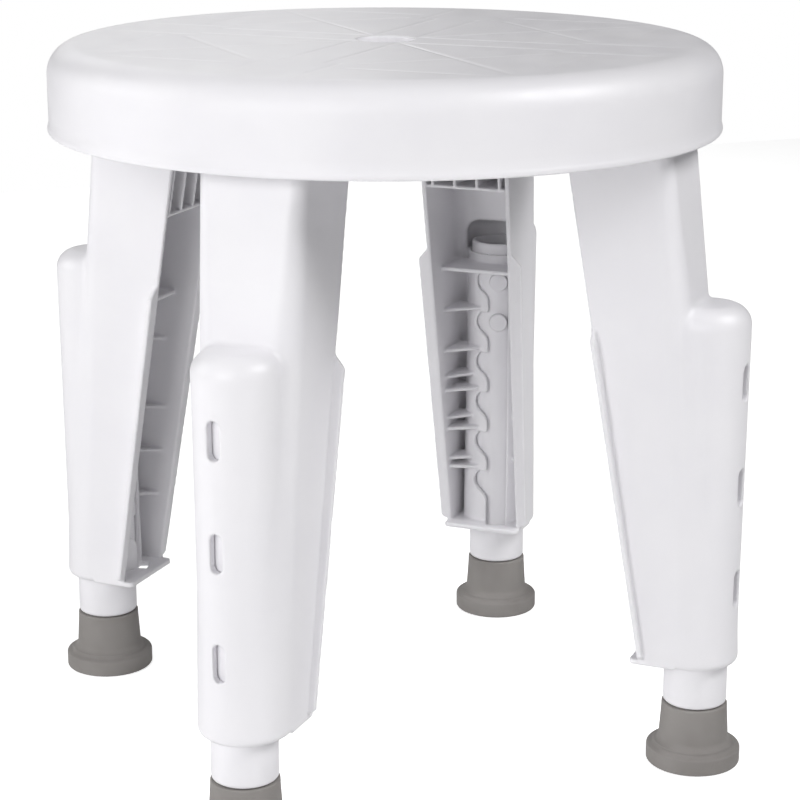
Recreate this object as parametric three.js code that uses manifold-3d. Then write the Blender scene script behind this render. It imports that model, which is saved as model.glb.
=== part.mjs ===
// Height-adjustable round shower stool. Millimetres, +Z up, origin on the floor
// under the middle of the seat. The legs stand on the diagonals of the seat.
import * as THREE from 'three';
import { mergeVertices } from 'three/addons/utils/BufferGeometryUtils.js';
import Module from 'manifold-3d';

const wasm = await Module();
wasm.setup();

// ---- Seat ----
const SEAT_D = 355.6;            // 14 in seat
const SEAT_TOP_Z = 381;          // 15 in high with the legs pushed right in
const SKIRT_H = 45;
const SEAT_T = 3.2;
const SKIRT_T = 3;
const SEAT_EDGE_R = 15.3;
const SKIRT_BEAD = 0.7;
const DRAIN_D = 30;
const SEAT_R = SEAT_D / 2;
const SKIRT_Z = SEAT_TOP_Z - SKIRT_H;
const PLATE_Z = SEAT_TOP_Z - SEAT_T;
const LEG_SPREAD = 2.8;          // tube axes beyond the edge of the seat
const LEG_CIRCLE_R = SEAT_R + LEG_SPREAD;

// ---- Leg tube and foot ----
const GAP = 0.3;                 // between touching pieces
const TUBE_R = 17;
const TUBE_WALL = 2.5;
const TUBE_BOTTOM_Z = 34.5;
const TUBE_END_R = 2.5;
const FOOT_FLARE = 8.2;          // foot beyond the tube
const FOOT_R = TUBE_R + FOOT_FLARE;
const SPIGOT_H = 20;

// ---- Height adjustment ----
const PITCH = 25.4;              // one inch per step
const POCKETS = 6;
const PEG_R = 5.5;
const PEG_CLEAR = 0.25;
const PEG_REACH = 2.6;           // peg faces beyond the tube
const CHANNEL_ANGLE = -18.5;     // pegs in the free channel, degrees from the inward side
const POCKET_ANGLE = 8.5;        // pegs twisted home
const HOUSING_BOTTOM_Z = 59.3;
const LOW_PEG_Z = HOUSING_BOTTOM_Z + 29.7;
const TOP_PEG_Z = LOW_PEG_Z + (POCKETS - 1) * PITCH;
const TUBE_TOP_Z = TOP_PEG_Z + 23.2;

// ---- Leg housing ----
const TUBE_CLEAR = 0.4;
const BARREL_WALL = 3.6;         // inner side of the barrel at MOUTH_REF_Z
const BARREL_SLOPE = 0.0117;     // the inner side narrows upwards
const BULGE_WALL = 3.9;          // outer side of the barrel at MOUTH_REF_Z
const BULGE_SLOPE = 0.0065;      // the outer side widens upwards
const BORE_R = TUBE_R + TUBE_CLEAR;
const BARREL_R = BORE_R + BARREL_WALL;
const BARREL_TOP_Z = TOP_PEG_Z + 17.3;
const SHOULDER_Z = BARREL_TOP_Z + 20.7;
const SHOULDER_R = 11;
const WALL = 2.6;
const FACE_U = -4;               // outer face at FACE_REF_Z, measured outward from the tube
const FACE_REF_Z = 250;
const FACE_SLOPE = 0.135;        // the outer face leans inward towards the seat
const MOUTH_U = -BARREL_R - 3.9; // open inner side at MOUTH_REF_Z
const MOUTH_REF_Z = 65;
const MOUTH_SLOPE = 0.168;
const HALF_WIDTH = BARREL_R + 3.3; // half width at MOUTH_REF_Z
const WIDTH_SLOPE = 0.0147;
const CORNER_R = 23.8;           // outer corners at MOUTH_REF_Z
const CORNER_SLOPE = 0.0605;     // the corners get tighter upwards
const BOTTOM_EDGE = 3.2;
const LIP_TOP_Z = BARREL_TOP_Z + 7.7;
const LIP_TOP_W = 5.8;
const LIP_BOTTOM_W = 3.8;
const LIP_CHAMFER = 6;
const PLATE_T = 2.8;
const PLATE_TIP_U = MOUTH_U - 5.6;
const PLATE_CORNER = 3;
const SHELF_Z = TOP_PEG_Z + 9.3;
const SHELF_T = 2.2;
const SHELF_FRONT_U = MOUTH_U - 13.1;
const SOLID_U = 4;               // the barrel and the outer wall are one body beyond this
const RIB_FRONT_U = MOUTH_U - 11.6;
const RIB_SETBACK = 3;
const RIB_T = 2;
const TOOTH_WEB_DZ = 7.7;        // web above each pocket
const PAIR_WEB_Z = [13, 40.1, 66.8].map((z) => LOW_PEG_Z + z);
const COMB_Z = SHOULDER_Z + 26;
const COMB_STEP = 14;
const COMB_RIBS = [-1.5, -0.5, 0.5, 1.5].map((n) => n * COMB_STEP);
const SLOT_STEP = 56.3;
const SLOT_Z = [0, 1, 2].map((n) => TOP_PEG_Z - 2 - n * SLOT_STEP);
const SLOT_LENGTH = 20;
const SLOT_WIDTH = 7;
const SLOT_ANGLE = 187;          // degrees from the inward side
const HOUSING_TOP_Z = PLATE_Z - GAP;

// ---- Seat underside ----
const SOCKET_CLEAR = 0.35;
const SOCKET_WALL = 2.2;
const SOCKET_DEPTH = 30.8;
const SOCKET_BOTTOM_Z = PLATE_Z - SOCKET_DEPTH;
const SEAT_RIB_H = 12;
const SEAT_RIB_T = 2;
const HUB_WALL = 3;
const PAIR_OFFSET = 12.5;
const BRACE_R = LEG_CIRCLE_R - 60.6; // cross braces beside each socket

const LEG_ANGLES = { front_left: -135, front_right: -45, rear_right: 45, rear_left: 135 };
const FACETS = { seat: 64, barrel: 24, peg: 12, corner: 4, foot: 20 };
const EMBED = 0.6;               // how far a rib runs into the wall it stands on

const rad = THREE.MathUtils.degToRad;
const v2 = (x, y) => new THREE.Vector2(x, y);

// ---- Solid helpers ----
function toSolid(geometry) {
  const bare = geometry.clone();
  bare.deleteAttribute('normal');
  bare.deleteAttribute('uv');
  const merged = mergeVertices(bare, 1e-4);
  const ids = merged.index.array;
  const kept = [];
  for (let i = 0; i < ids.length; i += 3) {
    const [a, b, c] = [ids[i], ids[i + 1], ids[i + 2]];
    if (a !== b && b !== c && c !== a) kept.push(a, b, c);
  }
  return new wasm.Manifold(new wasm.Mesh({
    numProp: 3,
    vertProperties: new Float32Array(merged.attributes.position.array),
    triVerts: new Uint32Array(kept),
  }));
}

// Solid from stacked loops with equal point counts, anticlockwise seen from the last loop.
function loft(loops) {
  const n = loops[0].length;
  const points = loops.flat();
  const flat = [];
  const put = (...ids) => ids.forEach((i) => flat.push(points[i].x, points[i].y, points[i].z));
  for (let k = 0; k + 1 < loops.length; k += 1) {
    for (let i = 0; i < n; i += 1) {
      const a = k * n + i;
      const b = k * n + ((i + 1) % n);
      put(a, b, b + n);
      put(a, b + n, a + n);
    }
  }
  return { flat, put, n, last: (loops.length - 1) * n };
}

function closeLoft(loops, capOutline) {
  const body = loft(loops);
  for (const [a, b, c] of THREE.ShapeUtils.triangulateShape(capOutline, [])) {
    body.put(c, b, a);
    body.put(body.last + a, body.last + b, body.last + c);
  }
  const geometry = new THREE.BufferGeometry();
  geometry.setAttribute('position', new THREE.Float32BufferAttribute(body.flat, 3));
  return toSolid(geometry);
}

// Plan outlines (Vector2 loops, anticlockwise) joined over height.
function stack(levels) {
  const loops = levels.map(([z, outline]) => outline.map((p) => new THREE.Vector3(p.x, p.y, z)));
  return closeLoft(loops, levels[0][1]);
}

function slab(outline, z0, z1) {
  const geometry = new THREE.ExtrudeGeometry(new THREE.Shape(outline), {
    depth: z1 - z0,
    bevelEnabled: false,
  });
  geometry.translate(0, 0, z0);
  return toSolid(geometry);
}

function block(x0, x1, y0, y1, z0, z1) {
  const geometry = new THREE.BoxGeometry(x1 - x0, y1 - y0, z1 - z0);
  geometry.translate((x0 + x1) / 2, (y0 + y1) / 2, (z0 + z1) / 2);
  return toSolid(geometry);
}

// Body turned about Z from a closed [radius, height] loop, anticlockwise in that plane.
function turned(profile, facets) {
  const geometry = new THREE.LatheGeometry([...profile, profile[0]].map(([r, z]) => v2(r, z)), facets);
  geometry.rotateX(Math.PI / 2);
  return toSolid(geometry);
}

function arc(cr, cz, radius, fromDeg, toDeg, steps) {
  const points = [];
  for (let i = 0; i <= steps; i += 1) {
    const a = rad(fromDeg + ((toDeg - fromDeg) * i) / steps);
    points.push([cr + radius * Math.cos(a), cz + radius * Math.sin(a)]);
  }
  return points;
}

function rod(radius, z0, z1, facets = FACETS.barrel) {
  return turned([[0, z0], [radius, z0], [radius, z1], [0, z1]], facets);
}

// A bar or round pin that points outward from the tube axis, at an angle from the inward side.
function radial(geometry, angle, z) {
  geometry.rotateZ(Math.PI - rad(angle));
  geometry.translate(0, 0, z);
  return toSolid(geometry);
}

function radialPin(radius, r0, r1, angle, z) {
  const pin = new THREE.CylinderGeometry(radius, radius, r1 - r0, FACETS.peg);
  pin.rotateZ(-Math.PI / 2);
  pin.translate((r0 + r1) / 2, 0, 0);
  return radial(pin, angle, z);
}

function radialBar(width, r0, r1, angle, z0, z1) {
  const bar = new THREE.BoxGeometry(r1 - r0, width, z1 - z0);
  bar.translate((r0 + r1) / 2, 0, 0);
  return radial(bar, angle, (z0 + z1) / 2);
}

function join(list) {
  return list.reduce((a, b) => a.add(b));
}

function toMesh(solid, name, material) {
  const data = solid.getMesh();
  const geometry = new THREE.BufferGeometry();
  geometry.setAttribute('position', new THREE.BufferAttribute(new Float32Array(data.vertProperties), 3));
  geometry.setIndex(new THREE.BufferAttribute(new Uint32Array(data.triVerts), 1));
  geometry.computeVertexNormals();
  const mesh = new THREE.Mesh(geometry, material);
  mesh.name = name;
  return mesh;
}

// ---- Leg housing: x runs outward from the tube axis, y sideways ----
const faceU = (z) => FACE_U - FACE_SLOPE * (z - FACE_REF_Z);
const mouthU = (z) => MOUTH_U - MOUTH_SLOPE * (z - MOUTH_REF_Z);
const halfWidth = (z) => HALF_WIDTH + WIDTH_SLOPE * (z - MOUTH_REF_Z);
const cornerR = (z) => CORNER_R - CORNER_SLOPE * (z - MOUTH_REF_Z);
const barrelR = (z) => BARREL_R - BARREL_SLOPE * (z - MOUTH_REF_Z);
const bulgeR = (z) => BORE_R + BULGE_WALL + BULGE_SLOPE * (z - MOUTH_REF_Z);

// Channel outline at a height; grow moves the three walls out, mouthGrow the open side.
function channelOutline(z, grow = 0, mouthGrow = 0) {
  const u1 = faceU(z) + grow;
  const u0 = mouthU(z) - mouthGrow;
  const w = halfWidth(z) + grow;
  const r = cornerR(z) + grow;
  const right = arc(u1 - r, -w + r, r, -90, 0, FACETS.corner);
  const left = arc(u1 - r, w - r, r, 0, 90, FACETS.corner);
  return [[u0, -w], ...right, ...left, [u0, w]].map(([x, y]) => v2(x, y));
}

function housingShell() {
  const z0 = HOUSING_BOTTOM_Z;
  const e = BOTTOM_EDGE;
  const box = stack([
    [z0, channelOutline(z0, -e)],
    [z0 + 0.3 * e, channelOutline(z0 + 0.3 * e, -0.3 * e)],
    [z0 + e, channelOutline(z0 + e)],
    [HOUSING_TOP_Z, channelOutline(HOUSING_TOP_Z)],
  ]);
  const bulge = turned([
    [0, z0],
    [bulgeR(z0) - e, z0],
    [bulgeR(z0) - 0.3 * e, z0 + 0.3 * e],
    [bulgeR(z0 + e), z0 + e],
    ...arc(bulgeR(SHOULDER_Z) - SHOULDER_R, SHOULDER_Z - SHOULDER_R, SHOULDER_R, 0, 90, 3),
    [0, SHOULDER_Z],
  ], FACETS.barrel);
  return box.add(bulge);
}

function housingHollow() {
  const floorZ = HOUSING_BOTTOM_Z + PLATE_T;
  const roofZ = HOUSING_TOP_Z - WALL;
  const channel = stack([
    [floorZ, channelOutline(floorZ, -WALL, 10)],
    [roofZ, channelOutline(roofZ, -WALL, 10)],
  ]).subtract(block(SOLID_U, BARREL_R * 2, -BARREL_R * 2, BARREL_R * 2, 0, SHELF_Z));
  const domeR = bulgeR(SHOULDER_Z) - WALL;
  const dome = turned([
    [0, BARREL_TOP_Z],
    [domeR, BARREL_TOP_Z],
    ...arc(domeR - SHOULDER_R + WALL, SHOULDER_Z - SHOULDER_R, SHOULDER_R - WALL, 0, 90, 2),
    [0, SHOULDER_Z - WALL],
  ], FACETS.barrel);
  return { channel, dome };
}

function lip(side) {
  const width = (z) => LIP_BOTTOM_W
    + ((LIP_TOP_W - LIP_BOTTOM_W) * (z - MOUTH_REF_Z)) / (LIP_TOP_Z - MOUTH_REF_Z);
  const section = (z, w) => {
    const a = side * (halfWidth(z) - WALL / 2);
    const b = side * (halfWidth(z) + w);
    const low = Math.min(a, b);
    const high = Math.max(a, b);
    const u = mouthU(z);
    return [v2(u, low), v2(u + WALL, low), v2(u + WALL, high), v2(u, high)];
  };
  const z0 = HOUSING_BOTTOM_Z + 4;
  return stack([
    [z0, section(z0, width(z0) - 2)],
    [z0 + 2, section(z0 + 2, width(z0))],
    [LIP_TOP_Z - LIP_CHAMFER, section(LIP_TOP_Z - LIP_CHAMFER, width(LIP_TOP_Z))],
    [LIP_TOP_Z, section(LIP_TOP_Z, 0.4)],
  ]);
}

// Web from a side wall round to an angle on the barrel's inner side.
function web(z, side, angle) {
  const w = side * (halfWidth(z) - WALL + EMBED);
  const frontU = Math.max(RIB_FRONT_U, mouthU(z) + RIB_SETBACK);
  const reachU = -barrelR(z) * Math.cos(rad(angle));
  const reachV = barrelR(z) * Math.sin(rad(angle));
  const points = [v2(frontU, w), v2(reachU, side * reachV), v2(-8, side * reachV), v2(-8, w)];
  return slab(side > 0 ? points : points.reverse(), z, z + RIB_T);
}

function housingWebs() {
  const parts = [];
  for (let i = 1; i < POCKETS; i += 1) {
    parts.push(web(TOP_PEG_Z - i * PITCH + TOOTH_WEB_DZ, 1, 14));
  }
  for (const z of PAIR_WEB_Z) {
    parts.push(web(z, 1, 29.3));
    parts.push(web(z, -1, 46.4));
  }
  parts.push(web(TOP_PEG_Z - PITCH + TOOTH_WEB_DZ - 1.1, -1, 46.4));
  return join(parts);
}

// Cutter for the free channel and the six side pockets of the peg track.
function pegTrack() {
  const r = PEG_R + PEG_CLEAR;
  const r0 = TUBE_R - 4;
  const r1 = BARREL_R + 3;
  const parts = [
    radialBar(2 * r, r0, r1, CHANNEL_ANGLE, HOUSING_BOTTOM_Z - 5, TOP_PEG_Z),
    radialPin(r, r0, r1, CHANNEL_ANGLE, TOP_PEG_Z),
  ];
  const edge = CHANNEL_ANGLE + THREE.MathUtils.radToDeg(Math.asin(r / BARREL_R));
  const at = (radius, angle, z) => new THREE.Vector3(
    -radius * Math.cos(rad(angle)), radius * Math.sin(rad(angle)), z);
  for (let i = 0; i < POCKETS; i += 1) {
    const z = TOP_PEG_Z - i * PITCH;
    parts.push(radialPin(r, r0, r1, POCKET_ANGLE, z));
    const track = [
      [POCKET_ANGLE + 10.5, -0.72 * r], [edge, -1.8 * r], [CHANNEL_ANGLE, -1.8 * r],
      [CHANNEL_ANGLE, r], [POCKET_ANGLE, r],
    ];
    const loop = (radius) => track.map(([a, dz]) => at(radius, a, z + dz));
    parts.push(closeLoft([loop(r0), loop(r1)], track.map(([a, dz]) => v2(-a, dz))));
  }
  return join(parts);
}

function drainSlots() {
  const half = (SLOT_LENGTH - SLOT_WIDTH) / 2;
  return join(SLOT_Z.flatMap((z) => [
    radialBar(SLOT_WIDTH, TUBE_R - 3, BARREL_R + 4, SLOT_ANGLE, z - half, z + half),
    radialPin(SLOT_WIDTH / 2, TUBE_R - 3, BARREL_R + 4, SLOT_ANGLE, z - half),
    radialPin(SLOT_WIDTH / 2, TUBE_R - 3, BARREL_R + 4, SLOT_ANGLE, z + half),
  ]));
}

function bottomPlate() {
  const w = halfWidth(HOUSING_BOTTOM_Z);
  const c = PLATE_CORNER;
  const outline = [
    v2(PLATE_TIP_U, -w + c), v2(PLATE_TIP_U + c, -w), v2(-5, -w),
    v2(-5, w), v2(PLATE_TIP_U + c, w), v2(PLATE_TIP_U, w - c),
  ];
  return slab(outline, HOUSING_BOTTOM_Z, HOUSING_BOTTOM_Z + PLATE_T);
}

function crossPlate(frontU, z, thickness) {
  const w = halfWidth(z) - WALL + EMBED;
  const back = Math.min(faceU(z) - WALL + EMBED, -10);
  return block(frontU, back, -w, w, z, z + thickness);
}

function comb() {
  const parts = [];
  const top = HOUSING_TOP_Z - WALL + EMBED;
  const front = (z) => mouthU(z) + 1;
  const back = (z) => faceU(z) - WALL + EMBED;
  for (const v of COMB_RIBS) {
    const outline = (z, inset) => [
      v2(front(z), v - RIB_T / 2), v2(back(z) - inset, v - RIB_T / 2),
      v2(back(z) - inset, v + RIB_T / 2), v2(front(z), v + RIB_T / 2),
    ];
    const inset = Math.abs(v) > COMB_STEP ? 2.6 : 0;
    parts.push(stack([[COMB_Z + 1, outline(COMB_Z + 1, inset)], [top, outline(top, inset)]]));
  }
  const shelf = stack([COMB_Z, COMB_Z + RIB_T].map((z) => [
    z, channelOutline(z, -WALL + EMBED, -1),
  ]));
  return join(parts).add(shelf);
}

function buildHousing() {
  const { channel, dome } = housingHollow();
  const shell = housingShell().subtract(channel);
  const barrelZ = HOUSING_BOTTOM_Z + BOTTOM_EDGE;
  const barrel = turned([
    [0, barrelZ], [barrelR(barrelZ), barrelZ], [barrelR(BARREL_TOP_Z), BARREL_TOP_Z],
    [0, BARREL_TOP_Z],
  ], FACETS.barrel);
  const inner = join([
    barrel,
    housingWebs(),
    crossPlate(SHELF_FRONT_U, SHELF_Z, SHELF_T),
    bottomPlate(),
    lip(1),
    lip(-1),
    comb(),
  ]);
  const bore = rod(BORE_R, HOUSING_BOTTOM_Z - 5, BARREL_TOP_Z + 1, FACETS.barrel);
  return shell.add(inner).subtract(bore).subtract(dome).subtract(pegTrack())
    .subtract(drainSlots());
}

// ---- Leg tube with its two pegs, same frame as the housing ----
function buildTube() {
  const inner = TUBE_R - TUBE_WALL;
  const z0 = TUBE_BOTTOM_Z;
  const z1 = TUBE_TOP_Z;
  const wall = turned([
    [inner, z0],
    ...arc(TUBE_R - TUBE_END_R + 0.5, z0 + TUBE_END_R - 0.5, TUBE_END_R - 0.5, -90, 0, 2),
    ...arc(TUBE_R - 1, z1 - 1, 1, 0, 90, 1),
    [inner, z1],
  ], FACETS.barrel);
  const pegs = [0, 1].map((i) => radialPin(
    PEG_R, inner + 0.8, TUBE_R + PEG_REACH, CHANNEL_ANGLE, TOP_PEG_Z - i * PITCH));
  return wall.add(pegs[0]).add(pegs[1]);
}

// ---- Rubber foot with a spigot plugged into the tube ----
function buildFoot() {
  const top = TUBE_BOTTOM_Z - GAP;
  const spigot = TUBE_R - TUBE_WALL - GAP;
  return turned([
    [0, 0],
    [FOOT_R - 1, 0],
    [FOOT_R, 1.6],
    [FOOT_R, 7.4],
    [FOOT_R - 1, 9],
    [FOOT_R - 3.4, 11.6],
    [TUBE_R + 2.2, 15.4],
    [TUBE_R + 1.3, 19],
    [TUBE_R + 0.2, top - 1],
    [TUBE_R - 0.8, top],
    [spigot, top],
    [spigot, top + SPIGOT_H - 2],
    [spigot - 2, top + SPIGOT_H],
    [0, top + SPIGOT_H],
  ], FACETS.foot);
}

// ---- Seat ----
function seatRib(x0, y0, x1, y1) {
  const a = v2(x0, y0);
  const b = v2(x1, y1);
  const n = v2(a.y - b.y, b.x - a.x).normalize().multiplyScalar(SEAT_RIB_T / 2);
  const outline = [a.clone().sub(n), b.clone().sub(n), b.clone().add(n), a.clone().add(n)];
  return slab(outline, PLATE_Z - SEAT_RIB_H, PLATE_Z + EMBED);
}

function seatShell() {
  const hub = DRAIN_D / 2;
  const e = SEAT_EDGE_R;
  const innerE = e - SEAT_T;
  const skirtR = SEAT_R - SKIRT_T;
  return turned([
    [hub, PLATE_Z - SEAT_RIB_H],
    [hub + HUB_WALL, PLATE_Z - SEAT_RIB_H],
    [hub + HUB_WALL, PLATE_Z],
    ...arc(skirtR - innerE, PLATE_Z - innerE, innerE, 90, 0, 3),
    [skirtR, SKIRT_Z],
    [SEAT_R, SKIRT_Z],
    [SEAT_R + SKIRT_BEAD, SKIRT_Z + 1.6],
    [SEAT_R, SKIRT_Z + 4],
    ...arc(SEAT_R - e, SEAT_TOP_Z - e, e, 0, 90, 5),
    [hub + 1, SEAT_TOP_Z],
    [hub, SEAT_TOP_Z - 1],
  ], FACETS.seat);
}

function onDiagonal(along, across, angle) {
  const a = rad(angle);
  return [
    along * Math.cos(a) - across * Math.sin(a),
    along * Math.sin(a) + across * Math.cos(a),
  ];
}

// Plan outline of the leg frame carried to its corner of the seat.
function atCorner(outline, angle) {
  return outline.map((p) => v2(...onDiagonal(LEG_CIRCLE_R + p.x, p.y, angle)));
}

// Leaning block that matches the top of a housing, larger by grow all round.
function socketBody(grow, z0, z1, angle) {
  return stack([z0, z1].map((z) => [z, atCorner(channelOutline(z, grow, grow), angle)]));
}

function buildSeat() {
  const inner = DRAIN_D / 2 + HUB_WALL / 2;
  const outer = SEAT_R - SKIRT_T + EMBED;
  const socketInner = LEG_CIRCLE_R + mouthU(PLATE_Z) - SOCKET_WALL / 2;
  const socketHalf = halfWidth(PLATE_Z) + SOCKET_WALL / 2;
  const ribEnd = outer - 3;
  const parts = [];
  for (const angle of Object.values(LEG_ANGLES)) {
    const main = rad(angle + 45);
    parts.push(seatRib(
      inner * Math.cos(main), inner * Math.sin(main),
      ribEnd * Math.cos(main), ribEnd * Math.sin(main)));
    for (const side of [-1, 1]) {
      const from = onDiagonal(inner - 5, side * PAIR_OFFSET, angle);
      const to = onDiagonal(socketInner, side * PAIR_OFFSET, angle);
      parts.push(seatRib(...from, ...to));
      const reach = Math.sqrt(ribEnd * ribEnd - BRACE_R * BRACE_R);
      parts.push(seatRib(
        ...onDiagonal(BRACE_R, side * socketHalf, angle),
        ...onDiagonal(BRACE_R, side * reach, angle)));
    }
    parts.push(seatRib(
      ...onDiagonal(socketInner, socketHalf, angle),
      ...onDiagonal(socketInner, -socketHalf, angle + 90)));
    parts.push(socketBody(SOCKET_CLEAR + SOCKET_WALL, SOCKET_BOTTOM_Z, PLATE_Z + EMBED, angle));
  }
  const e = SEAT_EDGE_R;
  const inside = turned([
    [0, SKIRT_Z],
    [SEAT_R - SKIRT_T / 2, SKIRT_Z],
    ...arc(SEAT_R - e, SEAT_TOP_Z - e, e - SKIRT_T / 2, 0, 90, 5),
    [0, SEAT_TOP_Z - SKIRT_T / 2],
  ], FACETS.seat);
  let seat = seatShell().add(join(parts).intersect(inside));
  for (const angle of Object.values(LEG_ANGLES)) {
    seat = seat.subtract(socketBody(SOCKET_CLEAR, SOCKET_BOTTOM_Z - 5, PLATE_Z, angle));
  }
  return seat;
}

// ---- Assembly ----
const whitePlastic = () => new THREE.MeshStandardMaterial({ color: 0xf2f1f4, roughness: 0.45 });
const greyRubber = () => new THREE.MeshStandardMaterial({ color: 0x8b8683, roughness: 0.85 });

const stool = new THREE.Group();
stool.name = 'shower_stool';
stool.add(toMesh(buildSeat(), 'seat', whitePlastic()));

const housing = buildHousing();
const tube = buildTube();
const foot = buildFoot();
for (const [corner, angle] of Object.entries(LEG_ANGLES)) {
  const leg = new THREE.Group();
  leg.name = `leg_${corner}`;
  leg.position.set(LEG_CIRCLE_R * Math.cos(rad(angle)), LEG_CIRCLE_R * Math.sin(rad(angle)), 0);
  leg.rotation.z = rad(angle);
  leg.add(toMesh(housing, `leg_housing_${corner}`, whitePlastic()));
  leg.add(toMesh(tube, `leg_tube_${corner}`, whitePlastic()));
  leg.add(toMesh(foot, `rubber_foot_${corner}`, greyRubber()));
  stool.add(leg);
}

export default stool;
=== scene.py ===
import math

import bpy
import numpy as np
from mathutils import Matrix, Vector


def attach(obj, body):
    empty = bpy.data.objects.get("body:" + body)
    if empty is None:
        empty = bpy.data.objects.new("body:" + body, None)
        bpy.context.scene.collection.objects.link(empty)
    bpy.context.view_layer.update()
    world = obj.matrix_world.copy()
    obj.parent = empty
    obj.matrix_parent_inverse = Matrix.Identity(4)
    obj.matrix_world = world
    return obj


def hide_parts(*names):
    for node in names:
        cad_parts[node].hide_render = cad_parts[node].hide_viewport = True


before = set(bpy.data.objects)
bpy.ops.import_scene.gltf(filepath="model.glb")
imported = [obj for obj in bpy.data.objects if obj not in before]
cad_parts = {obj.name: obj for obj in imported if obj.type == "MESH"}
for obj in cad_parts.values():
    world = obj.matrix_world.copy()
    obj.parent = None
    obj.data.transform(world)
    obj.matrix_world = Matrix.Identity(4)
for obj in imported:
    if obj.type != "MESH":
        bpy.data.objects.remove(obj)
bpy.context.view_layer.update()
MM = 0.001

# ---- Sizes shared with the CAD model, in millimetres ----
CORNERS = {"front_left": -135, "front_right": -45, "rear_right": 45, "rear_left": 135}
LEG_CIRCLE_R = 180.6
SEAT_R = 177.8
SEAT_TOP_Z = 381.0
SKIRT_Z = 336.0
SEAT_T = 3.2
SKIRT_T = 3.0
SEAT_EDGE_R = 15.3
DRAIN_R = 15.0
PITCH = 25.4
POCKETS = 6
PEG_R = 5.5
PEG_CLEAR = 0.5                  # room round a peg in its track
PEG_REACH = 2.6                  # peg faces beyond the tube
TOP_PEG_Z = 216.0
CHANNEL_ANGLE = math.radians(-18.5)
POCKET_ANGLE = math.radians(8.5)
TUBE_R = 17.0
TUBE_INNER_R = 14.5
TUBE_BOTTOM_Z = 34.5
TUBE_TOP_Z = 239.2
BARREL_R = 21.0
BORE_R = 17.4
BARREL_TOP_Z = 233.3
HOUSING_Z = 59.3
HOUSING_TOP_Z = 377.5
SHOULDER_Z = 254.0
WALL = 2.6
SHELF_Z = 225.3
COMB_Z = 280.0
SHELF_T = 2.2
RIB_T = 2.0
PLATE_T = 2.8                    # bottom plate of a housing
SLOT_ANGLE = math.radians(187)   # drain slots, from the inward side of the leg
SLOT_R = 3.5
SLOT_HALF = 6.5                  # half the straight part of a slot
SLOT_STEP = 56.3
DRAIN_SLOTS = [TOP_PEG_Z - 2.0 - n * SLOT_STEP for n in range(3)]
FOOT_R = 25.2

# ---- Housing walls: places at a reference height, and how they change upwards ----
FACE_REF_Z = 250.0
FACE_U = -4.0
FACE_SLOPE = 0.135
FACE_COS = 0.991                 # cosine of the outer face's lean
REF_Z = 65.0
MOUTH_U = -24.9
MOUTH_SLOPE = 0.168
MOUTH_COS = 0.986
HALF_WIDTH = 24.3
WIDTH_SLOPE = 0.0147
CORNER_R = 23.8
CORNER_SLOPE = 0.0605
BARREL_SLOPE = 0.0117
BULGE_R = 21.3
BULGE_SLOPE = 0.0065
SHOULDER_R = 11.0
BOTTOM_EDGE = 3.2
SOLID_U = 4.0                    # barrel and outer wall are one body beyond this
WEB_FRONT_U = -36.5
WEB_SETBACK = 3.0
WEB_BACK_U = -8.0
SHELF_FRONT_U = -38.0
TOOTH_WEB_DZ = 8.7               # middle of the web above each pocket
PAIR_WEBS = (103.0, 130.1, 156.8)
SIDE_WEB_DZ = 7.6
TOOTH_WEB_ANGLE = math.radians(14)
LEFT_WEB_ANGLE = math.radians(29.3)
RIGHT_WEB_ANGLE = math.radians(46.4)
COMB_V = (7.0, 21.0)
COMB_RIB_HALF = 0.85             # half thickness
LIP_W = 3.8                      # lips of the mouth at REF_Z
LIP_GROWTH = 2.0 / 176.0
LIP_Z = (63.2, 241.2)
LIP_T = 2.6
PLATE_TIP_U = -30.5


# ---- Mesh helpers ----
def make_object(name, verts, faces, body, material, replaces=()):
    """A mesh from numpy points in millimetres, riding on a CAD body."""
    mesh = bpy.data.meshes.new(name)
    mesh.from_pydata([tuple(v) for v in np.asarray(verts) * MM], [], [tuple(f) for f in faces])
    mesh.validate()
    mesh.shade_smooth()
    mesh.materials.append(material)
    return add_object(name, mesh, body, replaces)


def add_object(name, mesh, body, replaces=(), matrix=None):
    obj = bpy.data.objects.new(name, mesh)
    bpy.context.scene.collection.objects.link(obj)
    if matrix is not None:
        obj.matrix_world = matrix
    bpy.context.view_layer.update()
    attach(obj, body)
    if replaces:
        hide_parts(*replaces)
    return obj


def round_min(a, b, r):
    """Union of two distance fields with a fillet of radius r."""
    u = np.maximum(r - a, 0)
    v = np.maximum(r - b, 0)
    return np.maximum(r, np.minimum(a, b)) - np.sqrt(u * u + v * v)


def round_max(a, b, r):
    """Intersection of two distance fields with an edge rounded to radius r."""
    u = np.maximum(r + a, 0)
    v = np.maximum(r + b, 0)
    return np.minimum(-r, np.maximum(a, b)) + np.sqrt(u * u + v * v)


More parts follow.
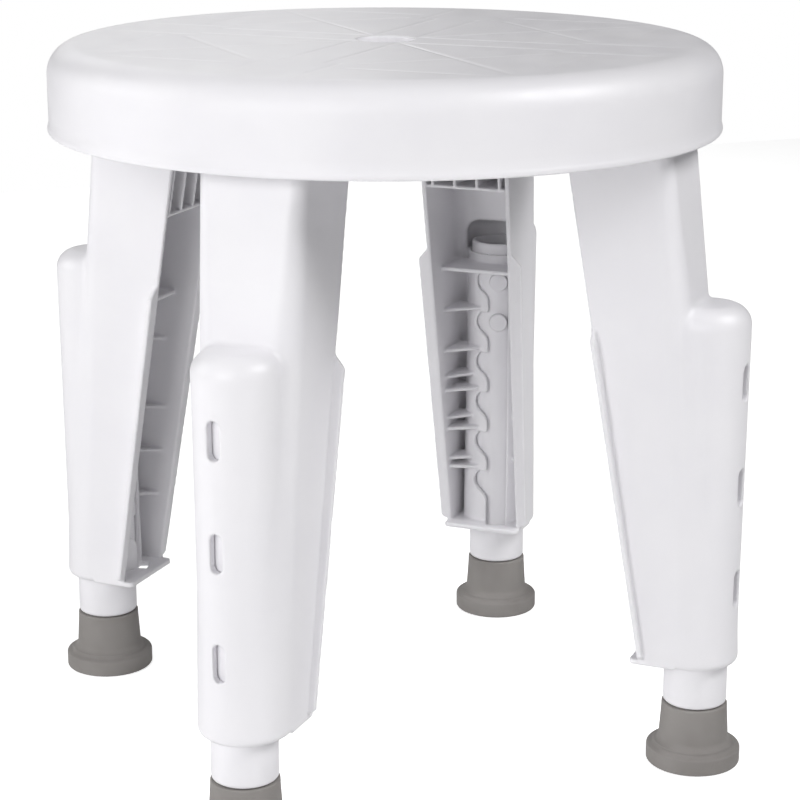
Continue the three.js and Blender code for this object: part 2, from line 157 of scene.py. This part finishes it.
def surface_nets(field, low, high, steps):
    """Closed quad mesh of the zero surface of a distance field."""
    axes = [np.arange(a, b + s, s, dtype=np.float32) for a, b, s in zip(low, high, steps)]
    grid = np.broadcast_to(
        field(axes[0][:, None, None], axes[1][None, :, None], axes[2][None, None, :]),
        [len(a) for a in axes])
    inside = grid < 0
    count = np.zeros([n - 1 for n in grid.shape], np.uint8)
    for i in (0, 1):
        for j in (0, 1):
            for k in (0, 1):
                nx, ny, nz = count.shape
                count += inside[i:nx + i, j:ny + j, k:nz + k]
    active = (count > 0) & (count < 8)
    total = int(active.sum())
    index = np.full(count.shape, -1, np.int64)
    index[active] = np.arange(total)
    sums = np.zeros((total, 3))
    hits = np.zeros(total)
    faces = []
    for axis in range(3):
        first = [slice(None)] * 3
        second = [slice(None)] * 3
        first[axis] = slice(0, -1)
        second[axis] = slice(1, None)
        cross = inside[tuple(first)] != inside[tuple(second)]
        cells = np.array(np.nonzero(cross))
        others = [(axis + 1) % 3, (axis + 2) % 3]
        keep = np.all([(cells[o] > 0) & (cells[o] < grid.shape[o] - 1) for o in others], axis=0)
        cells = cells[:, keep]
        nxt = cells.copy()
        nxt[axis] += 1
        d0 = grid[tuple(cells)]
        d1 = grid[tuple(nxt)]
        point = np.array([axes[i][cells[i]] for i in range(3)], float)
        point[axis] += steps[axis] * d0 / (d0 - d1)
        ring = []
        for db, dc in ((0, 0), (-1, 0), (-1, -1), (0, -1)):
            cell = cells.copy()
            cell[others[0]] += db
            cell[others[1]] += dc
            ids = index[tuple(cell)]
            ring.append(ids)
            hits += np.bincount(ids, minlength=total)
            for i in range(3):
                sums[:, i] += np.bincount(ids, weights=point[i], minlength=total)
        quad = np.stack(ring, axis=1)
        flip = inside[tuple(nxt)]
        quad[flip] = quad[flip][:, ::-1]
        faces.append(quad)
    return sums / hits[:, None], np.concatenate(faces)


def gradient(field, p, e=0.05):
    g = np.zeros_like(p)
    for i in range(3):
        q = p.copy()
        q[:, i] += e
        hi = field(*q.T)
        q[:, i] -= 2 * e
        g[:, i] = (hi - field(*q.T)) / (2 * e)
    return g


def field_mesh(name, field, low, high, steps, material):
    """Mesh of a distance field, its points drawn onto the exact surface."""
    verts, faces = surface_nets(field, low, high, steps)
    limit = 0.6 * max(steps)
    for _ in range(3):
        g = gradient(field, verts)
        size = np.maximum((g * g).sum(axis=1), 0.25)
        move = -(field(*verts.T) / size)[:, None] * g
        length = np.linalg.norm(move, axis=1, keepdims=True)
        verts += move * np.minimum(1, limit / np.maximum(length, 1e-9))
    mesh = bpy.data.meshes.new(name)
    mesh.vertices.add(len(verts))
    mesh.vertices.foreach_set("co", (verts * MM).astype(np.float32).ravel())
    mesh.loops.add(faces.size)
    mesh.loops.foreach_set("vertex_index", faces.astype(np.int32).ravel())
    mesh.polygons.add(len(faces))
    mesh.polygons.foreach_set("loop_start", np.arange(0, faces.size, 4, dtype=np.int32))
    mesh.update(calc_edges=True)
    mesh.validate()
    mesh.shade_smooth()
    mesh.materials.append(material)
    return mesh


# ---- Leg housing: u runs outward from the tube axis, v sideways, z up ----
def face_u(z):
    return FACE_U - FACE_SLOPE * (z - FACE_REF_Z)


def mouth_u(z):
    return MOUTH_U - MOUTH_SLOPE * (z - REF_Z)


def half_width(z):
    return HALF_WIDTH + WIDTH_SLOPE * (z - REF_Z)


def corner_r(z):
    return CORNER_R - CORNER_SLOPE * (z - REF_Z)


def barrel_r(z):
    return BARREL_R - BARREL_SLOPE * (z - REF_Z)


def bulge_r(z):
    return BULGE_R + BULGE_SLOPE * (z - REF_Z)


def nearest(z, levels):
    """Signed distance in z to the nearest of some levels."""
    z = np.asarray(z)
    gaps = np.stack([z - level for level in levels])
    best = np.abs(gaps).argmin(axis=0)
    return np.take_along_axis(gaps, best[None], axis=0)[0]


def along_angle(u, v, angle):
    return -u * math.cos(angle) + v * math.sin(angle)


def across_angle(u, v, angle):
    return u * math.sin(angle) + v * math.cos(angle)


def web_plan(u, v, z, angle):
    """Plan shape of a web on the +v wall, from the wall to an angle on the barrel."""
    reach_u = -barrel_r(z) * math.cos(angle)
    reach_v = barrel_r(z) * math.sin(angle)
    front = np.maximum(WEB_FRONT_U, mouth_u(z) + WEB_SETBACK)
    wall = half_width(z)
    run_u, run_v = reach_u - front, reach_v - wall
    length = np.sqrt(run_u * run_u + run_v * run_v)
    sloping = -((u - front) * -run_v + (v - wall) * run_u) / length
    return np.maximum(np.maximum(sloping, reach_v - v), u - WEB_BACK_U)


def housing_outer(u, v, z):
    r = np.sqrt(u * u + v * v)
    box = round_max((u - face_u(z)) * FACE_COS, np.abs(v) - half_width(z), corner_r(z))
    box = round_max(box, HOUSING_Z - z, BOTTOM_EDGE)
    box = round_max(box, z - HOUSING_TOP_Z, 0.8)
    bulge = round_max(r - bulge_r(z), z - SHOULDER_Z, SHOULDER_R)
    bulge = round_max(bulge, HOUSING_Z - z, BOTTOM_EDGE)
    return round_max(round_min(box, bulge, 3.0), (mouth_u(z) - u) * MOUTH_COS, 0.5)


def dome_recess(r, z):
    """Room above the barrel, inside the bulge's domed top."""
    dome = round_max(r - bulge_r(z) + WALL, z - SHOULDER_Z + WALL, SHOULDER_R - WALL)
    return np.maximum(dome, BARREL_TOP_Z - z)


def housing_hollow(u, v, z):
    r = np.sqrt(u * u + v * v)
    back = (u - face_u(z)) * FACE_COS + WALL
    channel = round_max(back, np.abs(v) - half_width(z) + WALL, corner_r(z) - WALL)
    channel = round_max(channel, HOUSING_Z + PLATE_T - z, 1.0)
    channel = np.maximum(channel, z - HOUSING_TOP_Z + WALL)
    filled = np.maximum(SOLID_U - u, z - SHELF_Z)
    channel = np.maximum(channel, -filled)
    return round_min(channel, dome_recess(r, z), 2.0)


def web_set(u, v, z, angle, levels):
    """Webs at some heights, on the +v side, reaching to an angle on the barrel."""
    return np.maximum(web_plan(u, v, z, angle), np.abs(nearest(z, levels)) - RIB_T / 2)


def housing_webs(u, v, z):
    pairs = list(PAIR_WEBS)
    teeth = [TOP_PEG_Z - i * PITCH + TOOTH_WEB_DZ for i in range(1, POCKETS)]
    near = web_set(u, v, z, TOOTH_WEB_ANGLE, teeth)
    left = web_set(u, v, z, LEFT_WEB_ANGLE, pairs)
    right = web_set(u, -v, z, RIGHT_WEB_ANGLE, pairs + [TOP_PEG_Z - PITCH + SIDE_WEB_DZ])
    shelf = np.maximum(np.maximum(SHELF_FRONT_U - u, u - WEB_BACK_U),
                       np.abs(z - SHELF_Z - SHELF_T / 2) - SHELF_T / 2)
    return np.minimum(np.minimum(near, left), np.minimum(right, shelf))


def housing_comb(u, v, z):
    w = np.abs(v)
    ribs = np.minimum(np.abs(w - COMB_V[0]), np.abs(w - COMB_V[1])) - COMB_RIB_HALF
    ribs = np.maximum(ribs, COMB_Z - z)
    shelf = np.abs(z - COMB_Z - 0.9) - 0.9
    return np.maximum(round_min(ribs, shelf, 0.6), mouth_u(z) + 1.0 - u)


def housing_lips(u, v, z):
    """Raised lips beside the mouth, chamfered at both ends."""
    width = LIP_W + LIP_GROWTH * (z - REF_Z)
    width = np.minimum(width, 0.3 + (241.0 - z) * 0.9)
    width = np.minimum(width, 1.2 + (z - 62.5) * 1.0)
    side = np.maximum(np.abs(v) - half_width(z) - width, half_width(z) - 1.3 - np.abs(v))
    depth = np.abs(u - mouth_u(z) - LIP_T / 2) - LIP_T / 2
    middle, half = (LIP_Z[1] + LIP_Z[0]) / 2, (LIP_Z[1] - LIP_Z[0]) / 2
    return round_max(side, np.maximum(depth, np.abs(z - middle) - half), 0.45)


def housing_plate(u, v, z):
    plan = round_max(np.abs(v) - HALF_WIDTH, PLATE_TIP_U - u, 3.0)
    level = np.abs(z - HOUSING_Z - PLATE_T / 2) - PLATE_T / 2
    return round_max(np.maximum(plan, u + 5.0), level, 0.6)


def peg_track(u, v, z):
    """The free channel and its six side pockets, cut through the barrel's inner side."""
    clear = PEG_R + PEG_CLEAR
    s = across_angle(u, v, CHANNEL_ANGLE)
    up = np.maximum(z - TOP_PEG_Z, 0)
    channel = np.maximum(np.sqrt(s * s + up * up) - clear, -along_angle(u, v, CHANNEL_ANGLE))
    dz = nearest(z, [TOP_PEG_Z - i * PITCH for i in range(POCKETS)])
    s = across_angle(u, v, POCKET_ANGLE)
    home = np.sqrt(s * s + dz * dz) - clear
    arc = BARREL_R * np.arctan2(v, -u)
    edge = BARREL_R * (CHANNEL_ANGLE + math.asin(clear / BARREL_R))
    end = BARREL_R * (POCKET_ANGLE + math.radians(10.5))
    rise, run = (1.8 - 0.72) * clear, end - edge
    slope = math.hypot(rise, run)
    ramp = ((arc - edge) * rise - (dz + 1.8 * clear) * run) / slope
    floor = np.maximum(ramp, -1.8 * clear - dz)
    mouth = np.maximum(np.maximum(floor, dz - clear), arc - end)
    mouth = np.maximum(mouth, BARREL_R * CHANNEL_ANGLE - arc)
    pocket = np.maximum(round_min(home, mouth, 0.8), -along_angle(u, v, POCKET_ANGLE))
    return round_min(channel, pocket, 1.8)


def drain_slots(u, v, z):
    dz = np.maximum(np.abs(nearest(z, DRAIN_SLOTS)) - SLOT_HALF, 0)
    s = across_angle(u, v, SLOT_ANGLE)
    return np.maximum(np.sqrt(s * s + dz * dz) - SLOT_R, -along_angle(u, v, SLOT_ANGLE))


def housing(u, v, z):
    r = np.sqrt(u * u + v * v)
    outer = housing_outer(u, v, z)
    shell = round_max(outer, -housing_hollow(u, v, z), 0.5)
    barrel = round_max(r - barrel_r(z), z - BARREL_TOP_Z, 0.8)
    barrel = np.maximum(barrel, HOUSING_Z + 1.5 - z)
    inner = np.minimum(housing_webs(u, v, z), housing_comb(u, v, z))
    inner = np.maximum(inner, outer + 0.5)
    body = round_min(round_min(shell, barrel, 1.0), inner, 0.7)
    body = round_min(body, housing_lips(u, v, z), 0.7)
    body = round_min(body, housing_plate(u, v, z), 0.7)
    bore = np.maximum(r - BORE_R, z - BARREL_TOP_Z - 1.0)
    body = round_max(body, -np.minimum(bore, dome_recess(r, z)), 0.6)
    cuts = np.minimum(peg_track(u, v, z), drain_slots(u, v, z))
    reach = np.maximum(TUBE_R - 4.0 - r, r - BARREL_R - 4.0)
    return round_max(body, -np.maximum(cuts, reach), 0.5)


# ---- Turned pieces ----
def arc(cx, cz, r, a0, a1, n):
    turn = np.radians(np.linspace(a0, a1, n + 1))
    return [(cx + r * math.cos(a), cz + r * math.sin(a)) for a in turn]


def dense(profile, gap):
    """The profile with extra points, so that no step is longer than gap."""
    points = [profile[0]]
    for a, b in zip(profile, profile[1:]):
        n = max(1, math.ceil(math.dist(a, b) / gap))
        points += [(a[0] + (b[0] - a[0]) * i / n, a[1] + (b[1] - a[1]) * i / n)
                   for i in range(1, n + 1)]
    return points


def lathe(profile, segments, closed):
    """Points and faces of a profile turned about Z; an open profile has its ends on the axis."""
    verts, rings = [], []
    for r, z in profile:
        if r < 1e-6:
            rings.append([len(verts)] * segments)
            verts.append((0.0, 0.0, z))
        else:
            rings.append(list(range(len(verts), len(verts) + segments)))
            for i in range(segments):
                a = 2 * math.pi * i / segments
                verts.append((r * math.cos(a), r * math.sin(a), z))
    pairs = list(zip(rings, rings[1:]))
    if closed:
        pairs.append((rings[-1], rings[0]))
    faces = []
    for low, high in pairs:
        for i in range(segments):
            j = (i + 1) % segments
            face = [low[i], low[j], high[j], high[i]]
            faces.append(list(dict.fromkeys(face)))
    return np.array(verts), faces


# ---- Seat: shell with faint sink lines over its ribs ----
PLATE_Z = SEAT_TOP_Z - SEAT_T
RIB_Z = PLATE_Z - 12.0
HUB_R = DRAIN_R + 3.0
SOCKET_Z = 347.0
BRACE_R = 120.0
PAIR_OFFSET = 12.5
SINK_DEPTH = 0.3
SINK_WIDTH = 1.3


def on_diagonal(along, across, angle):
    a = math.radians(angle)
    return np.array([along * math.cos(a) - across * math.sin(a),
                     along * math.sin(a) + across * math.cos(a)])


def seat_ribs():
    """Start and end of every rib under the seat, in plan."""
    inner = DRAIN_R + 1.5
    end = SEAT_R - SKIRT_T - 2.4
    socket_inner = LEG_CIRCLE_R + mouth_u(PLATE_Z) - 1.1
    socket_half = half_width(PLATE_Z) + 1.1
    reach = math.sqrt(end * end - BRACE_R * BRACE_R)
    lines = []
    for angle in CORNERS.values():
        lines.append((on_diagonal(inner, 0, angle + 45), on_diagonal(end, 0, angle + 45)))
        for side in (-1, 1):
            lines.append((on_diagonal(inner - 5, side * PAIR_OFFSET, angle),
                          on_diagonal(socket_inner, side * PAIR_OFFSET, angle)))
            lines.append((on_diagonal(BRACE_R, side * socket_half, angle),
                          on_diagonal(BRACE_R, side * reach, angle)))
        lines.append((on_diagonal(socket_inner, socket_half, angle),
                      on_diagonal(socket_inner, -socket_half, angle + 90)))
    return lines


def sink_lines():
    """Segments on the top face where the plastic has drawn in over a rib."""
    lines = []
    for a, b in seat_ribs():
        far = max(np.hypot(*a), np.hypot(*b))
        if far > 160:
            k = 156.0 / far if np.hypot(*b) > 160 and np.hypot(*a) < 30 else 1.0
            b = b * k
        lines.append((a, b))
    for angle in CORNERS.values():
        for across in (-20.0, 20.0):
            lines.append((on_diagonal(104, across, angle), on_diagonal(158, across, angle)))
    return lines


def segment_distance(x, y, a, b):
    d = b - a
    t = np.clip(((x - a[0]) * d[0] + (y - a[1]) * d[1]) / (d @ d), 0, 1)
    return np.hypot(x - a[0] - t * d[0], y - a[1] - t * d[1])


def seat_shell(material):
    e = SEAT_EDGE_R
    inner_e = e - SEAT_T
    skirt_in = SEAT_R - SKIRT_T
    profile = [(DRAIN_R, RIB_Z + 0.4), (DRAIN_R + 0.4, RIB_Z), (HUB_R - 0.4, RIB_Z)]
    profile += [(HUB_R, RIB_Z + 0.4)] + arc(HUB_R + 1.0, PLATE_Z - 1.0, 1.0, 180, 90, 4)
    profile += arc(skirt_in - inner_e, PLATE_Z - inner_e, inner_e, 90, 0, 16)
    profile += arc(skirt_in + 0.5, SKIRT_Z + 0.5, 0.5, 180, 270, 3)
    profile += arc(SEAT_R - 0.4, SKIRT_Z + 1.1, 1.1, -90, 0, 5)
    profile += [(SEAT_R + 0.7, SKIRT_Z + 2.2), (SEAT_R + 0.45, SKIRT_Z + 3.1)]
    profile += [(SEAT_R, SKIRT_Z + 4.0)]
    profile += arc(SEAT_R - e, SEAT_TOP_Z - e, e, 0, 90, 24)
    profile += arc(DRAIN_R + 1.2, SEAT_TOP_Z - 1.2, 1.2, 90, 180, 5)
    top_start = SEAT_R - e
    fine = []
    for a, b in zip(profile, profile[1:] + profile[:1]):
        on_top = a[1] > SEAT_TOP_Z - 0.01 and b[1] > SEAT_TOP_Z - 0.01
        gap = 1.15 if on_top else 6.0
        n = max(1, math.ceil(math.dist(a, b) / gap))
        fine += [(a[0] + (b[0] - a[0]) * i / n, a[1] + (b[1] - a[1]) * i / n) for i in range(n)]
    verts, faces = lathe(fine, 576, True)
    top = verts[:, 2] > SEAT_TOP_Z - 0.01
    x, y = verts[top, 0], verts[top, 1]
    sink = np.zeros(len(x))
    for a, b in sink_lines():
        sink = np.maximum(sink, np.exp(-(segment_distance(x, y, a, b) / SINK_WIDTH) ** 2))
    verts[top, 2] -= SINK_DEPTH * sink * np.clip((top_start + 1 - np.hypot(x, y)) / 8, 0, 1)
    return make_object("seat_shell", verts, faces, "seat_frame", material, ["seat"])


def bar_mesh(stations, half, low, high):
    """A rib as rings of a rounded cross section; high gives its top at each station."""
    d = stations[-1] - stations[0]
    n = np.array([-d[1], d[0]]) / np.hypot(*d)
    verts, faces = [], []
    for p, top in zip(stations, high):
        for across, z in ((-half - 0.15, top), (-half, low + 0.5), (-half + 0.4, low),
                          (half - 0.4, low), (half, low + 0.5), (half + 0.15, top)):
            verts.append((*(p + n * across), z))
    k = 6
    for s in range(len(stations) - 1):
        for i in range(k):
            j = (i + 1) % k
            faces.append([s * k + i, s * k + j, (s + 1) * k + j, (s + 1) * k + i])
    faces.append(list(range(k))[::-1])
    faces.append([(len(stations) - 1) * k + i for i in range(k)])
    return np.array(verts), faces


def socket_outline(z, grow, angle):
    """Plan outline of a socket wall round a housing's top, as points in the part frame."""
    out, half, mouth = face_u(z) + grow, half_width(z) + grow, mouth_u(z) - grow
    r = corner_r(z) + grow
    pts = [(mouth, -half)]
    pts += arc(out - r, -half + r, r, -90, 0, 10)
    pts += arc(out - r, half - r, r, 0, 90, 10)
    pts += [(mouth, half)]
    loop = []
    for a, b in zip(pts, pts[1:] + pts[:1]):
        n = max(1, math.ceil(math.dist(a, b) / 5))
        loop += [(a[0] + (b[0] - a[0]) * i / n, a[1] + (b[1] - a[1]) * i / n) for i in range(n)]
    return [(*on_diagonal(LEG_CIRCLE_R + u, v, angle), z) for u, v in loop]


def seat_underside(material):
    verts, faces, base = [], [], 0
    envelope = SEAT_EDGE_R - 1.5
    for a, b in seat_ribs():
        n = max(2, math.ceil(math.dist(a, b) / 4))
        stations = [a + (b - a) * i / n for i in range(n + 1)]
        tops = []
        for p in stations:
            over = max(np.hypot(*p) - (SEAT_R - SEAT_EDGE_R), 0)
            skin = SEAT_TOP_Z - SEAT_EDGE_R + math.sqrt(max(envelope ** 2 - over ** 2, 0))
            tops.append(min(PLATE_Z + 0.6, skin))
        v, f = bar_mesh(stations, 1.0, RIB_Z, tops)
        verts += list(v)
        faces += [[base + i for i in face] for face in f]
        base += len(v)
    for angle in CORNERS.values():
        rings = [socket_outline(z, grow, angle) for z, grow in (
            (PLATE_Z + 0.6, 2.55), (SOCKET_Z + 0.5, 2.55), (SOCKET_Z, 2.05),
            (SOCKET_Z, 0.75), (SOCKET_Z + 0.5, 0.35), (PLATE_Z + 0.6, 0.35))]
        k = len(rings[0])
        for s in range(len(rings)):
            t = (s + 1) % len(rings)
            for i in range(k):
                j = (i + 1) % k
                low, high = base + s * k, base + t * k
                faces.append([low + i, high + i, high + j, low + j])
        verts += [p for ring in rings for p in ring]
        base += k * len(rings)
    return make_object("seat_underside", verts, faces, "seat_frame", material)


# ---- Tube and foot ----
def tube_parts():
    z0, z1 = TUBE_BOTTOM_Z, TUBE_TOP_Z
    profile = arc(TUBE_INNER_R + 0.6, z0 + 0.6, 0.6, 180, 270, 3)
    profile += arc(TUBE_R - 2.2, z0 + 2.2, 2.2, -90, 0, 8)
    profile += arc(TUBE_R - 1.0, z1 - 1.0, 1.0, 0, 90, 5)
    profile += arc(TUBE_INNER_R + 0.5, z1 - 0.5, 0.5, 90, 180, 3)
    verts, faces = lathe(dense(profile, 6.0), 128, True)
    verts = list(verts)
    face = TUBE_R + PEG_REACH
    pin = [(0.0, face), (PEG_R - 0.9, face)] + [
        (r, h) for r, h in arc(PEG_R - 0.8, face - 0.8, 0.8, 80, 0, 5)]
    pin += [(PEG_R, TUBE_R + 0.7), (PEG_R + 0.35, TUBE_R), (PEG_R + 0.35, TUBE_INNER_R + 0.8),
            (0.0, TUBE_INNER_R + 0.8)]
    pin_verts, pin_faces = lathe(pin, 40, False)
    c, s = math.cos(CHANNEL_ANGLE), math.sin(CHANNEL_ANGLE)
    out = np.array([-c, s, 0.0])
    side = np.array([s, c, 0.0])
    for z in (TOP_PEG_Z, TOP_PEG_Z - PITCH):
        base = len(verts)
        for x, y, h in pin_verts:
            verts.append(out * h + side * x + np.array([0, 0, 1.0]) * y + np.array([0, 0, z]))
        faces += [[base + i for i in f] for f in pin_faces]
    return np.array(verts), faces


def foot_parts():
    top = TUBE_BOTTOM_Z - 0.3
    spigot = TUBE_INNER_R - 0.3
    profile = [(0.0, 0.0)]
    for r in (8.0, 12.0, 16.0, 20.0):
        profile += [(r - 0.9, 0.0), (r - 0.5, 0.7), (r + 0.5, 0.7), (r + 0.9, 0.0)]
    profile += arc(FOOT_R - 1.4, 1.4, 1.4, -90, 0, 5)
    profile += arc(FOOT_R - 1.4, 8.2, 1.4, 0, 65, 5)
    profile += [(FOOT_R - 2.2, 10.0), (FOOT_R - 4.0, 11.0)]
    profile += arc(TUBE_R + 6.0, 15.6, 4.4, 250, 185, 8)
    profile += [(TUBE_R + 1.4, 19.0), (TUBE_R + 1.2, 22.0), (TUBE_R + 0.7, 30.0)]
    profile += arc(TUBE_R - 0.2, top - 0.8, 0.8, 10, 90, 4)
    profile += [(spigot, top), (spigot, top + 18.0), (spigot - 2, top + 20.0), (0.0, top + 20.0)]
    return lathe(dense(profile, 2.5), 128, False)


# ---- Materials ----
def node(tree, kind, **values):
    n = tree.nodes.new(kind)
    for key, value in values.items():
        if key in n.inputs:
            n.inputs[key].default_value = value
        else:
            setattr(n, key, value)
    return n


def noise(tree, coords, scale, detail, rough=0.5):
    n = node(tree, "ShaderNodeTexNoise", Scale=scale, Detail=detail, Roughness=rough)
    tree.links.new(coords, n.inputs["Vector"])
    return n.outputs["Fac"]


def remap(tree, value, low, high, to_low, to_high):
    n = tree.nodes.new("ShaderNodeMapRange")
    tree.links.new(value, n.inputs["Value"])
    for key, v in (("From Min", low), ("From Max", high), ("To Min", to_low), ("To Max", to_high)):
        n.inputs[key].default_value = v
    return n.outputs["Result"]


def blend(tree, fac, a, b):
    n = tree.nodes.new("ShaderNodeMix")
    n.data_type = "RGBA"
    tree.links.new(fac, n.inputs["Factor"])
    for socket, value in (("A", a), ("B", b)):
        port = [i for i in n.inputs if i.name == socket and i.type == "RGBA"][0]
        if isinstance(value, tuple):
            port.default_value = (*value, 1)
        else:
            tree.links.new(value, port)
    return [o for o in n.outputs if o.type == "RGBA"][0]


def moulded(name, light, dark, worn, rough, bump, grain):
    """Moulded plastic or rubber: slow colour drift, paler worn edges, fine surface grain."""
    mat = bpy.data.materials.new(name)
    mat.use_nodes = True
    tree = mat.node_tree
    shader = tree.nodes["Principled BSDF"]
    coords = tree.nodes.new("ShaderNodeTexCoord").outputs["Object"]
    drift = remap(tree, noise(tree, coords, 22, 3), 0.35, 0.65, 0, 1)
    colour = blend(tree, drift, light, dark)
    edge = tree.nodes.new("ShaderNodeNewGeometry").outputs["Pointiness"]
    wear = tree.nodes.new("ShaderNodeMath")
    wear.operation = "MULTIPLY"
    tree.links.new(remap(tree, edge, 0.52, 0.6, 0, 1), wear.inputs[0])
    tree.links.new(remap(tree, noise(tree, coords, 120, 4), 0.4, 0.7, 0.2, 0.9), wear.inputs[1])
    colour = blend(tree, wear.outputs[0], colour, worn)
    tree.links.new(colour, shader.inputs["Base Color"])
    shine = remap(tree, noise(tree, coords, 70, 4), 0.3, 0.7, *rough)
    tree.links.new(shine, shader.inputs["Roughness"])
    slow = tree.nodes.new("ShaderNodeBump")
    slow.inputs["Strength"].default_value = bump[0]
    slow.inputs["Distance"].default_value = 0.002
    tree.links.new(noise(tree, coords, 18, 2), slow.inputs["Height"])
    fine = tree.nodes.new("ShaderNodeBump")
    fine.inputs["Strength"].default_value = bump[1]
    fine.inputs["Distance"].default_value = 0.0002
    tree.links.new(noise(tree, coords, grain, 3), fine.inputs["Height"])
    tree.links.new(slow.outputs["Normal"], fine.inputs["Normal"])
    tree.links.new(fine.outputs["Normal"], shader.inputs["Normal"])
    return mat


WHITE = moulded("white_moulded_plastic", (0.86, 0.85, 0.875), (0.84, 0.83, 0.86),
                (0.9, 0.9, 0.91), (0.36, 0.46), (0.04, 0.12), 900)
RUBBER = moulded("grey_rubber", (0.285, 0.27, 0.258), (0.235, 0.22, 0.21),
                 (0.35, 0.335, 0.32), (0.6, 0.75), (0.1, 0.5), 900)

# ---- Assembly ----
seat_shell(WHITE)
seat_underside(WHITE)
housing_mesh = field_mesh("leg_housing", housing, (-84, -36, 57.5), (25, 36, 379.5),
                          (0.9, 0.9, 1.1), WHITE)
tube_verts, tube_faces = tube_parts()
foot_verts, foot_faces = foot_parts()
for corner, angle in CORNERS.items():
    turn = Matrix.Rotation(math.radians(angle), 4, "Z")
    place = turn @ Matrix.Translation((LEG_CIRCLE_R * MM, 0, 0))
    add_object(f"housing_{corner}", housing_mesh, "seat_frame", [f"leg_housing_{corner}"], place)
    for label, verts, faces, body, material, cad in (
            ("tube", tube_verts, tube_faces, "tube", WHITE, "leg_tube"),
            ("foot", foot_verts, foot_faces, "foot", RUBBER, "rubber_foot")):
        mesh = bpy.data.meshes.get(label)
        if mesh is None:
            mesh = bpy.data.meshes.new(label)
            mesh.from_pydata([tuple(v) for v in verts * MM], [], [tuple(f) for f in faces])
            mesh.validate()
            mesh.shade_smooth()
            mesh.materials.append(material)
        add_object(f"{label}_{corner}", mesh, f"{body}_{corner}", [f"{cad}_{corner}"], place)

# ---- Studio ----
def studio():
    scene = bpy.context.scene
    scene.view_settings.view_transform = "Standard"
    world = bpy.data.worlds.new("studio")
    scene.world = world
    world.use_nodes = True
    tree = world.node_tree
    back = tree.nodes["Background"]
    back.inputs["Color"].default_value = (1, 1, 1, 1)
    back.inputs["Strength"].default_value = 0.05
    shown = tree.nodes.new("ShaderNodeBackground")
    shown.inputs["Color"].default_value = (1, 1, 1, 1)
    mix = tree.nodes.new("ShaderNodeMixShader")
    path = tree.nodes.new("ShaderNodeLightPath")
    tree.links.new(path.outputs["Is Camera Ray"], mix.inputs[0])
    tree.links.new(back.outputs[0], mix.inputs[1])
    tree.links.new(shown.outputs[0], mix.inputs[2])
    tree.links.new(mix.outputs[0], tree.nodes["World Output"].inputs["Surface"])

    mesh = bpy.data.meshes.new("floor")
    s = 1.7
    mesh.from_pydata([(-s, -s, 0), (s, -s, 0), (s, s, 0), (-s, s, 0)], [], [(0, 1, 2, 3)])
    floor = bpy.data.objects.new("floor", mesh)
    scene.collection.objects.link(floor)
    floor.location.z = -0.0002
    mat = moulded("pale_floor", (0.9, 0.9, 0.9), (0.89, 0.89, 0.89), (0.9, 0.9, 0.9),
                  (0.7, 0.8), (0.02, 0.02), 200)
    shader = mat.node_tree.nodes["Principled BSDF"]
    shader.inputs["Emission Color"].default_value = (1, 1, 1, 1)
    seen = mat.node_tree.nodes.new("ShaderNodeLightPath").outputs["Is Camera Ray"]
    glow = remap(mat.node_tree, seen, 0, 1, 0, 0.7)
    mat.node_tree.links.new(glow, shader.inputs["Emission Strength"])
    mesh.materials.append(mat)

    centre = Vector((0, 0, 0.2))
    for name, place, size, energy in (
            ("front_left", (-1.5, -1.1, 0.7), 1.4, 21.5),
            ("high_right", (1.1, -1.1, 1.7), 0.9, 29.0),
            ("rear_left", (-1.6, 0.7, 1.0), 1.2, 13.0),
            ("rear", (0.2, 1.9, 1.2), 1.2, 6.8)):
        light = bpy.data.lights.new(name, "AREA")
        light.size = size
        light.energy = energy
        obj = bpy.data.objects.new(name, light)
        scene.collection.objects.link(obj)
        obj.location = place
        obj.rotation_euler = (centre - Vector(place)).to_track_quat("-Z", "Y").to_euler()

    cam = bpy.data.cameras.new("camera")
    cam.lens = 102.5
    cam.sensor_width = 36
    cam.clip_end = 20
    obj = bpy.data.objects.new("camera", cam)
    scene.collection.objects.link(obj)
    obj.location = (-0.4547, -1.1231, 0.5192)
    yaw, pitch = math.radians(22.41), math.radians(15.52)
    level = math.cos(pitch)
    look = Vector((math.sin(yaw) * level, math.cos(yaw) * level, -math.sin(pitch)))
    obj.rotation_euler = look.to_track_quat("-Z", "Y").to_euler()
    scene.camera = obj


studio()
